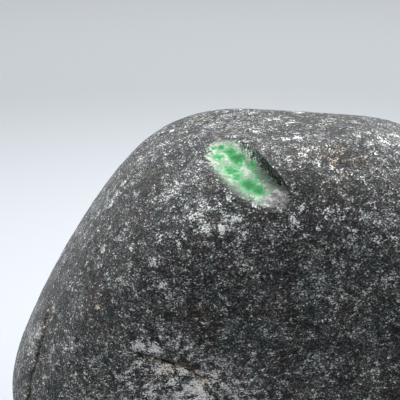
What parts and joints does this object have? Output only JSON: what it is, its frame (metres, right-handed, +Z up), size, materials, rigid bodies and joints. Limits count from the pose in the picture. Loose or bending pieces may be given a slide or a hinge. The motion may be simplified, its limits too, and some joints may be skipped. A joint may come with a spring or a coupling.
{
  "type": "raw jade boulder",
  "caption": "Water-worn raw jade boulder in its dark speckled grey skin, with a small almond-shaped window ground on one shoulder to show pale and emerald-green jade.",
  "frame": {"origin": "on the surface the stone lies on, below the middle of its bounding box", "axes": "+X along the stone's length, away from the end with the ground window; -Y towards the side with the window; +Z up"},
  "size_m": [0.1494, 0.1048, 0.1069],
  "materials": {
    "stone_skin": "satin"
  },
  "bodies": {
    "root": {"boulder": "stone_skin"}
  },
  "joints": []
}
